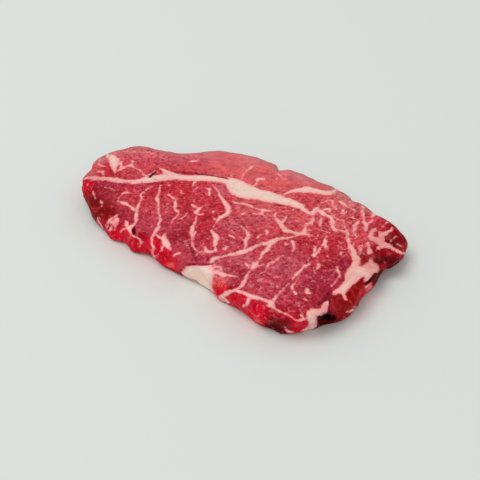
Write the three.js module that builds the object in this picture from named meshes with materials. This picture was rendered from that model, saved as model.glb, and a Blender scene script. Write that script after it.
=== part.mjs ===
// A raw chuck eye steak, lying on its flat underside. Millimetres, +Z up.
//
// The slice is one closed solid. Its rim is a smooth closed curve through a few stations. Spokes run
// from a spine along the middle of the slice out to the rim, down the cut wall and back in along the
// underside. The top swells over each muscle and sinks a little along the thick seams of fat.

import * as THREE from 'three';

// ---- driving dimensions ---------------------------------------------------------------------------

const THICKNESS = 16.5;             // underside to the plain cut surface
const CENTRE = [-6.7, -2.55];       // middle of the rim's box, which becomes the origin

// The rim seen from above, as stations [x, y]: x runs along the slice, y across it.
const RIGHT_END = [[90, -18], [88.5, -6], [88, 5], [88, 12], [90, 18], [91, 24], [89.5, 31], [86.5, 39.3], [79.5, 42.6]];
const FAR_SIDE = [
  [70, 44.3], [61, 44.8], [52, 47.8], [46, 47], [41, 49.3], [32, 51.4], [20, 50.1], [8, 50.5], [-1, 48.5],
  [-5, 44.7], [-10, 48.1], [-18, 47.3], [-29, 45.7], [-39, 41.5], [-47, 38], [-53, 31.7], [-62, 22.5],
  [-77, 15.8], [-89.5, 11.3], [-95.5, 3.5],
];
const LEFT_END = [[-102, -5], [-104, -14], [-99.4, -24], [-93, -34.5]];
const NEAR_SIDE = [
  [-83, -42.5], [-74, -48.5], [-60, -52], [-28, -52.5], [-5, -52.5], [12, -51], [28, -53.5],
  [44, -56], [58, -57], [70, -54], [77.5, -49], [83, -42], [87, -31],
];

// Ends of the spine that the spokes start from.
const SPINE_RIGHT = [48, -3];
const SPINE_LEFT = [-62, -10];

// The upper edge is rounded: how far in it starts, and how far down it reaches.
const EDGE_REACH = 3.2;
const EDGE_DROP = 2.6;
// Stretches with a softer edge.
const SOFT_EDGES = [
  { at: [-72, -46], along: 26, reach: 6.0, drop: 4.0 },    // near side, left: slack and sloping
  { at: [90, 31], along: 14, reach: 2.5, drop: 2.0 },      // dark lobe at the right end
  { at: [-103, -14], along: 12, reach: 2.0, drop: 1.5 },   // left tip
  { at: [20, 50], along: 30, reach: 1.0, drop: 0.6 },
  { at: [-20, -50], along: 22, reach: 1.2, drop: 0.8 },
  { at: [90, -14], along: 12, reach: 2.2, drop: 4.0 },     // right wall spreads at its foot
];
const FOOT_REACH = 2.4;             // rounding where the wall meets the underside
const FOOT_RISE = 1.8;

// Hollows (negative) and bulges of the cut wall: place on the rim, height, size, outward millimetres.
const WALL_FORMS = [
  { at: [84.5, -37], z: 4.0, along: 8, tall: 5.5, out: -6.0 },   // dark hollow under the near corner
  { at: [88.5, 15], z: 4.0, along: 6, tall: 6.0, out: -2.0 },    // foot of the fold
  { at: [90.5, 25], z: 1.0, along: 9, tall: 6.0, out: -3.0 },    // the lobe hangs over
  { at: [89.5, 19], z: 1.0, along: 4.5, tall: 7.0, out: -3.6 },
  { at: [91, 25], z: 6.5, along: 4, tall: 3.5, out: 1.2 },
  { at: [63, -57], z: 3.0, along: 5.5, tall: 4.5, out: -2.4 },   // pocket under the near side
  { at: [78.5, -47.5], z: 2.0, along: 6, tall: 6.0, out: -3.0 },
  { at: [81.5, -44], z: 0, along: 3, tall: 7, out: -1.4 },
  { at: [-18, -52], z: 9.0, along: 11, tall: 5.0, out: 0.6 },
  { at: [38, -54], z: 8.5, along: 12, tall: 4.5, out: 0.5 },
  // The wall leans in towards its foot.
  { at: [90, -8], z: 0, along: 17, tall: 8, out: -2.0 },
  { at: [73, -52.5], z: 0, along: 4.5, tall: 7, out: -2.0 },
  { at: [50, -57], z: 0, along: 14, tall: 8, out: -3.7 },
  { at: [14, -51], z: 0, along: 16, tall: 8, out: -0.9 },
  { at: [-16, -52.5], z: 0, along: 17, tall: 8, out: -3.0 },
  { at: [-40, -52.5], z: 0, along: 12, tall: 8, out: -2.6 },
  { at: [-70, -50], z: 0, along: 16, tall: 8, out: -2.1 },
  { at: [-84, -41.5], z: 0, along: 8, tall: 8, out: -1.2 },
  // Tags of meat that reach further at the foot.
  { at: [26.5, -53.5], z: 0, along: 3, tall: 7, out: 1.0 },
  { at: [-32.5, -53], z: 0, along: 3.2, tall: 7, out: 2.0 },
  { at: [-53, -53], z: 0, along: 4.5, tall: 7, out: 1.7 },
];

// Swells and dips of the top, each an oval: centre, half sizes, turn in degrees, height.
const SWELLS = [
  { at: [88, 36], half: [15, 12], turn: -30, up: -3.0 },    // the right lobe droops
  { at: [-103, -12], half: [13, 13], turn: 0, up: -2.2 },   // so does the left tip
  { at: [-72, -47], half: [24, 9], turn: -12, up: -2.6 },   // slack near side
  { at: [90, 14.5], half: [9.5, 5.8], turn: 0, up: -9.5 },  // fold that opens in the right end
  { at: [-18, 33], half: [30, 9], turn: 12, up: 0.8 },      // the long cap muscle
  { at: [4, -12], half: [28, 20], turn: 0, up: 0.7 },       // the eye
  { at: [60, -24], half: [20, 22], turn: 0, up: 0.9 },
  { at: [56, 30], half: [18, 12], turn: -20, up: 0.4 },
  { at: [-56, -22], half: [20, 14], turn: -20, up: 0.6 },
  { at: [-70, 4], half: [16, 6], turn: -20, up: 0.4 },
  { at: [26, 32], half: [11, 7], turn: 40, up: 0.6 },
];

// Thick seams of fat, along which the cut surface sinks: half width, depth and route.
const GROOVES = [
  { half: 6, deep: 0.6, route: [[-90, -27], [-80, -26], [-68, -20], [-57, -6], [-40, 5.5], [-25, 14.5],
    [-10, 14.5], [8, 19.5], [22, 22.5], [34, 22]] },
  { half: 4, deep: 0.5, route: [[38, 0], [32, -12], [26, -24], [16, -41], [16, -50]] },
  { half: 4, deep: 0.5, route: [[45, 24], [55, 18], [68, 10], [77, 0], [80, -14], [81, -26]] },
  { half: 4, deep: 0.4, route: [[12, 27], [16, 36], [28, 42], [34, 49]] },
  { half: 3.5, deep: 0.4, route: [[40, -54], [36, -36], [32, -14]] },
  { half: 3.5, deep: 0.4, route: [[-51, -12], [-44, -22], [-35, -32], [-24, -46]] },
];

// The cut wall is a little wavy.
const WAVE_OUT = 0.45;
const WAVE_ALONG = 0.33;            // radians for each millimetre
const WAVE_UP = 0.30;

// ---- how finely it is divided ---------------------------------------------------------------------

const SPOKES = 160;
const TOP_RINGS = 16;
const EDGE_RINGS = 4;
const WALL_RINGS = 8;
const FOOT_RINGS = 3;
const BASE_RINGS = 6;
const RIM_SAMPLES = 60;             // fine samples between two stations
// Spokes stand closer at the right end, where the rim is busiest.
const BUSY_FROM = 62;
const BUSY_TO = 80;
const BUSY_GAIN = 0.9;
const NORMAL_REACH = 3.5;           // rim length each way over which its direction is read

// ---- small helpers --------------------------------------------------------------------------------

function smoothStep(from, to, value) {
  const t = THREE.MathUtils.clamp((value - from) / (to - from), 0, 1);
  return t * t * (3 - 2 * t);
}

function bell(distance, size) {
  return Math.exp(-((distance / size) ** 2));
}

function distanceTo(point, place) {
  return Math.hypot(point[0] - place[0], point[1] - place[1]);
}

function distanceToRoute(point, route) {
  let nearest = Infinity;
  for (let i = 0; i + 1 < route.length; i += 1) {
    const [ax, ay] = route[i];
    const dx = route[i + 1][0] - ax;
    const dy = route[i + 1][1] - ay;
    const along = ((point[0] - ax) * dx + (point[1] - ay) * dy) / (dx * dx + dy * dy);
    const t = THREE.MathUtils.clamp(along, 0, 1);
    nearest = Math.min(nearest, distanceTo(point, [ax + t * dx, ay + t * dy]));
  }
  return nearest;
}

// ---- the rim --------------------------------------------------------------------------------------

// Returns a function that gives the rim's point at any length along it, and that whole length. The
// length is weighted, so that equal steps of it stand closer at the busy end.
function measureRim() {
  const stations = [...RIGHT_END, ...FAR_SIDE, ...LEFT_END, ...NEAR_SIDE];
  const curve = new THREE.CatmullRomCurve3(
    stations.map(([x, y]) => new THREE.Vector3(x, y, 0)), true, 'centripetal');
  const count = stations.length * RIM_SAMPLES;
  const points = [];
  for (let i = 0; i <= count; i += 1) {
    const p = curve.getPoint((i % count) / count);
    points.push([p.x, p.y]);
  }
  const lengths = [0];
  for (let i = 0; i < count; i += 1) {
    const weight = 1 + BUSY_GAIN * smoothStep(BUSY_FROM, BUSY_TO, points[i][0]);
    lengths.push(lengths[i] + weight * distanceTo(points[i], points[i + 1]));
  }
  const whole = lengths[count];
  function pointAt(length) {
    const target = THREE.MathUtils.euclideanModulo(length, whole);
    let low = 0;
    let high = count;
    while (high - low > 1) {
      const middle = (low + high) >> 1;
      if (lengths[middle] <= target) low = middle;
      else high = middle;
    }
    const t = (target - lengths[low]) / (lengths[high] - lengths[low]);
    return [
      THREE.MathUtils.lerp(points[low][0], points[high][0], t),
      THREE.MathUtils.lerp(points[low][1], points[high][1], t),
    ];
  }
  return { whole, pointAt };
}

// One spoke: where it starts on the spine, where it meets the rim, and which way the rim faces there.
function makeSpoke(rim, index) {
  const length = (index / SPOKES) * rim.whole;
  const ahead = rim.pointAt(length + NORMAL_REACH);
  const behind = rim.pointAt(length - NORMAL_REACH);
  const size = distanceTo(ahead, behind);
  const share = Math.min(index, SPOKES - index) / (SPOKES / 2);
  return {
    start: [
      THREE.MathUtils.lerp(SPINE_RIGHT[0], SPINE_LEFT[0], share),
      THREE.MathUtils.lerp(SPINE_RIGHT[1], SPINE_LEFT[1], share),
    ],
    rim: rim.pointAt(length),
    out: [(ahead[1] - behind[1]) / size, (behind[0] - ahead[0]) / size],
  };
}

// ---- surfaces -------------------------------------------------------------------------------------

function topHeight(point) {
  let z = THICKNESS;
  for (const { at, half, turn, up } of SWELLS) {
    const angle = THREE.MathUtils.degToRad(turn);
    const dx = point[0] - at[0];
    const dy = point[1] - at[1];
    const u = (Math.cos(angle) * dx + Math.sin(angle) * dy) / half[0];
    const v = (Math.cos(angle) * dy - Math.sin(angle) * dx) / half[1];
    z += up * Math.exp(-(u * u + v * v));
  }
  for (const { half, deep, route } of GROOVES) {
    z -= deep * bell(distanceToRoute(point, route), half);
  }
  return z;
}

function edgeShape(rimPoint) {
  let reach = EDGE_REACH;
  let drop = EDGE_DROP;
  for (const soft of SOFT_EDGES) {
    const share = bell(distanceTo(rimPoint, soft.at), soft.along);
    reach += soft.reach * share;
    drop += soft.drop * share;
  }
  return { reach, drop };
}

// How far the wall stands out from the rim curve at height z. It dies out at the foot and the edge.
function wallOut([x, y], z) {
  let out = 0;
  for (const form of WALL_FORMS) {
    out += form.out * bell(distanceTo([x, y], form.at), form.along) * bell(z - form.z, form.tall);
  }
  const middle = Math.sin(Math.PI * THREE.MathUtils.clamp(z / THICKNESS, 0, 1));
  return out + WAVE_OUT * middle * Math.sin(WAVE_ALONG * (x - y) + WAVE_UP * z);
}

function lerpPoint(a, b, t) {
  return [THREE.MathUtils.lerp(a[0], b[0], t), THREE.MathUtils.lerp(a[1], b[1], t)];
}

// All the points of one spoke, from the spine over the edge to the spine again on the underside.
function spokePoints(spoke) {
  const { start, rim, out } = spoke;
  const { reach, drop } = edgeShape(rim);
  const lip = [rim[0] - out[0] * reach, rim[1] - out[1] * reach];
  const points = [];
  const place = (offset, z) => {
    points.push([rim[0] + out[0] * offset, rim[1] + out[1] * offset, z]);
  };
  for (let ring = 0; ring <= TOP_RINGS; ring += 1) {
    const p = lerpPoint(start, lip, ring / TOP_RINGS);
    points.push([...p, topHeight(p)]);
  }
  const lipHeight = topHeight(lip);
  for (let ring = 1; ring <= EDGE_RINGS; ring += 1) {
    const share = ring / EDGE_RINGS;
    const angle = (share * Math.PI) / 2;
    const z = lipHeight - drop * (1 - Math.cos(angle));
    place(wallOut(rim, z) * share - reach * (1 - Math.sin(angle)), z);
  }
  for (let ring = 1; ring <= WALL_RINGS; ring += 1) {
    const z = THREE.MathUtils.lerp(lipHeight - drop, FOOT_RISE, ring / WALL_RINGS);
    place(wallOut(rim, z), z);
  }
  for (let ring = 1; ring <= FOOT_RINGS; ring += 1) {
    const angle = ((ring / FOOT_RINGS) * Math.PI) / 2;
    const z = ring === FOOT_RINGS ? 0 : FOOT_RISE * (1 - Math.sin(angle));
    place(wallOut(rim, z) - FOOT_REACH * (1 - Math.cos(angle)), z);
  }
  const foot = points[points.length - 1];
  for (let ring = 1; ring <= BASE_RINGS; ring += 1) {
    points.push([...lerpPoint(foot, start, ring / BASE_RINGS), 0]);
  }
  return points;
}

// ---- the closed mesh ------------------------------------------------------------------------------

// Spokes that start at the same spine point share it, so the skin closes along the spine.
function makeGeometry() {
  const rim = measureRim();
  const spokes = Array.from({ length: SPOKES }, (_, index) => spokePoints(makeSpoke(rim, index)));
  const rings = spokes[0].length;
  const positions = [];
  const numbers = [];
  for (let ring = 0; ring < rings; ring += 1) {
    const onSpine = ring === 0 || ring === rings - 1;
    numbers.push(spokes.map((points, index) => {
      if (onSpine && index > SPOKES / 2) return numbers.length;
      const [x, y, z] = points[ring];
      positions.push(x - CENTRE[0], y - CENTRE[1], z);
      return positions.length / 3 - 1;
    }));
    if (onSpine) {
      const row = numbers[ring];
      for (let index = SPOKES / 2 + 1; index < SPOKES; index += 1) row[index] = row[SPOKES - index];
    }
  }
  const faces = [];
  for (let ring = 0; ring + 1 < rings; ring += 1) {
    for (let index = 0; index < SPOKES; index += 1) {
      const next = (index + 1) % SPOKES;
      const inner = numbers[ring];
      const outer = numbers[ring + 1];
      faces.push(inner[index], outer[index], outer[next]);
      faces.push(inner[index], outer[next], inner[next]);
    }
  }
  const geometry = new THREE.BufferGeometry();
  geometry.setAttribute('position', new THREE.Float32BufferAttribute(positions, 3));
  geometry.setIndex(faces);
  geometry.computeVertexNormals();
  return geometry;
}

function makeSteak() {
  const meat = new THREE.MeshStandardMaterial({ color: 0xa83440, roughness: 0.42, metalness: 0 });
  const steak = new THREE.Mesh(makeGeometry(), meat);
  steak.name = 'steak';
  return steak;
}

const model = new THREE.Group();
model.add(makeSteak());

export default model;
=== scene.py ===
"""A raw chuck eye steak, lying on its flat underside on a pale floor.

The slice is one fine mesh with the same form as its solid: spokes run from a spine along the middle of
the slice out to the rim, down the cut wall and back in along the underside. Its seams of fat, creases,
meat tones and marbling are routes and places in millimetres, read on the plane of the cut face as the
camera sees it. Where the skin lies lower than that plane, a route meets it along the same line of sight.
"""

import math

import bpy
import numpy as np
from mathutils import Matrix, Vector, noise


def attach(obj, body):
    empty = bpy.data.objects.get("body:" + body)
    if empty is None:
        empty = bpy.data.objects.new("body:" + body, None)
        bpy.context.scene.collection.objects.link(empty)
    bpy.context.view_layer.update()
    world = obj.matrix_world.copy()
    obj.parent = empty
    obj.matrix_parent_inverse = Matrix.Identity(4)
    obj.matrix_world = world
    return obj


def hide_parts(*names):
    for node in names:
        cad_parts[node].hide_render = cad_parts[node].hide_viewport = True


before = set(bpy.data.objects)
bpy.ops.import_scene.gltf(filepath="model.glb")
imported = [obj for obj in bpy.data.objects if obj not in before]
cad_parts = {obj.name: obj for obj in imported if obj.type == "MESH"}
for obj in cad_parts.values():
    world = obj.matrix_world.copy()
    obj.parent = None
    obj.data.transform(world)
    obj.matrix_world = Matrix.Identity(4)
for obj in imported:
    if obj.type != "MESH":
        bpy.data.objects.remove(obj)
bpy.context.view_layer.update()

MM = 0.001

# ---- the slice's form, in millimetres ----

THICKNESS = 16.5
CENTRE = np.array([-6.7, -2.55])  # the frame's origin, in the middle of the solid's outline

# The rim seen from above: right end, far side, left end and near side, anticlockwise.
RIM = np.array([
    (90, -18), (88.5, -6), (88, 5), (88, 12), (90, 18), (91, 24), (89.5, 31), (86.5, 39.3), (79.5, 42.6),
    (70, 44.3), (61, 44.8), (52, 47.8), (46, 47), (41, 49.3), (32, 51.4), (20, 50.1), (8, 50.5), (-1, 48.5),
    (-5, 44.7), (-10, 48.1), (-18, 47.3), (-29, 45.7), (-39, 41.5), (-47, 38), (-53, 31.7), (-62, 22.5),
    (-77, 15.8), (-89.5, 11.3), (-95.5, 3.5), (-102, -5), (-103.5, -13.6), (-98.1, -22.9), (-96.1, -28.9),
    (-93.3, -34.8), (-83, -42.5), (-74, -48.5), (-60, -52), (-28, -52.5), (-5, -52.5), (12, -51),
    (28, -53.5), (44, -56), (58, -57), (70, -54), (77.5, -49), (83, -42), (87, -31),
], float)
SPINE_RIGHT = np.array([48.0, -3.0])
SPINE_LEFT = np.array([-62.0, -10.0])

EDGE_REACH, EDGE_DROP = 3.2, 2.6  # rounding of the upper edge
SOFT_EDGES = [                    # x, y, length along the rim, extra reach, extra drop
    (-72, -46, 26, 6.0, 4.0),
    (90, 31, 14, 2.5, 2.0),
    (-103, -14, 12, 2.0, 1.5),
    (20, 50, 30, 1.0, 0.6),
    (-20, -50, 22, 1.2, 0.8),
    (90, -14, 12, 2.2, 4.0),
]
FOOT_REACH, FOOT_RISE = 2.4, 1.8  # rounding where the wall meets the underside

WALL_FORMS = [                       # x, y, z, length along the rim, height, how far outward
    (84.5, -37, 4.0, 8, 5.5, -6.0),  # dark hollow under the near corner
    (88.5, 15, 4.0, 6, 6.0, -2.0),   # foot of the fold
    (90.5, 25, 1.0, 9, 6.0, -4.2),   # the lobe hangs over
    (89.5, 19, 1.0, 4.5, 7.0, -3.6),
    (91, 25, 6.5, 4, 3.5, 1.2),
    (63, -57, 3.0, 5.5, 4.5, -2.4),  # pocket under the near side
    (78.5, -47.5, 2.0, 6, 6.0, -3.0),
    (81.5, -44, 0, 3, 7, -1.4),
    (-18, -52, 9.0, 11, 5.0, 0.6),
    (38, -54, 8.5, 12, 4.5, 0.5),
    # The wall leans in towards its foot.
    (90, -8, 0, 17, 8, -2.0),
    (73, -52.5, 0, 4.5, 7, -2.0),
    (49, -57, 0, 15, 8, -2.0),
    (40, -55.5, 0, 6, 8, -1.2),
    (14, -51, 0, 16, 8, -0.9),
    (-12, -52.5, 0, 12, 8, -0.8),
    (-26, -52.5, 0, 6, 8, -2.7),
    (-43, -52.5, 0, 10, 8, -1.9),
    (-70, -50, 0, 16, 8, -2.1),
    (-84, -41.5, 0, 8, 8, -1.2),
    # Tags of meat that reach further at the foot.
    (26.5, -53.5, 0, 3, 7, 1.0),
    (-37, -53, 0, 4.5, 7, 2.4),
    (-53, -53, 0, 4.5, 7, 1.7),
]
SWELLS = [                        # x, y, half length, half width, turn in degrees, height
    (88, 36, 15, 12, -30, -3.0),  # the right lobe droops
    (-103, -12, 13, 13, 0, -2.2),
    (-72, -47, 24, 9, -12, -2.6),   # slack near side
    (90, 14.5, 9.5, 5.8, 0, -9.5),  # fold that opens in the right end
    (-18, 33, 30, 9, 12, 0.8),
    (4, -12, 28, 20, 0, 0.7),
    (60, -24, 20, 22, 0, 0.9),
    (56, 30, 18, 12, -20, 0.4),
    (-56, -22, 20, 14, -20, 0.6),
    (-70, 4, 16, 6, -20, 0.4),
    (26, 32, 11, 7, 40, 0.6),
]
GROOVES = [  # half width, depth, route
    (6, 0.6, [(-90, -27), (-80, -26), (-68, -20), (-57, -6), (-40, 5.5), (-25, 14.5), (-10, 14.5),
              (8, 19.5), (22, 22.5), (34, 22)]),
    (4, 0.5, [(38, 0), (32, -12), (26, -24), (16, -41), (16, -50)]),
    (4, 0.5, [(45, 24), (55, 18), (68, 10), (77, 0), (80, -14), (81, -26)]),
    (4, 0.4, [(12, 27), (16, 36), (28, 42), (34, 49)]),
    (3.5, 0.4, [(40, -54), (36, -36), (32, -14)]),
    (3.5, 0.4, [(-51, -12), (-44, -22), (-35, -32), (-24, -46)]),
]
WAVE_OUT, WAVE_ALONG, WAVE_UP = 0.45, 0.33, 0.30

SPOKES = 880
RINGS = {"top": 78, "edge": 7, "wall": 15, "foot": 3, "base": 8}
RIM_SAMPLES = 60
BUSY_FROM, BUSY_TO, BUSY_GAIN = 62, 80, 0.9  # spokes stand closer towards the broad right end
NORMAL_REACH = 3.5                           # the rim's direction is read over this much to each side

# ---- the camera, in the slice's millimetres ----

AIM = np.array([4.77, -7.03, 0.0])
AZIMUTH, ELEVATION = math.radians(38.0), math.radians(40.47)
DISTANCE = 535.9
LENS, SENSOR = 69.98, 36.0
BACK = np.array([
    math.sin(AZIMUTH) * math.cos(ELEVATION),
    -math.cos(AZIMUTH) * math.cos(ELEVATION),
    math.sin(ELEVATION),
])
EYE = AIM + BACK * DISTANCE

# ---- fat: routes as (x, y, width) on the plane of the cut face ----

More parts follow.
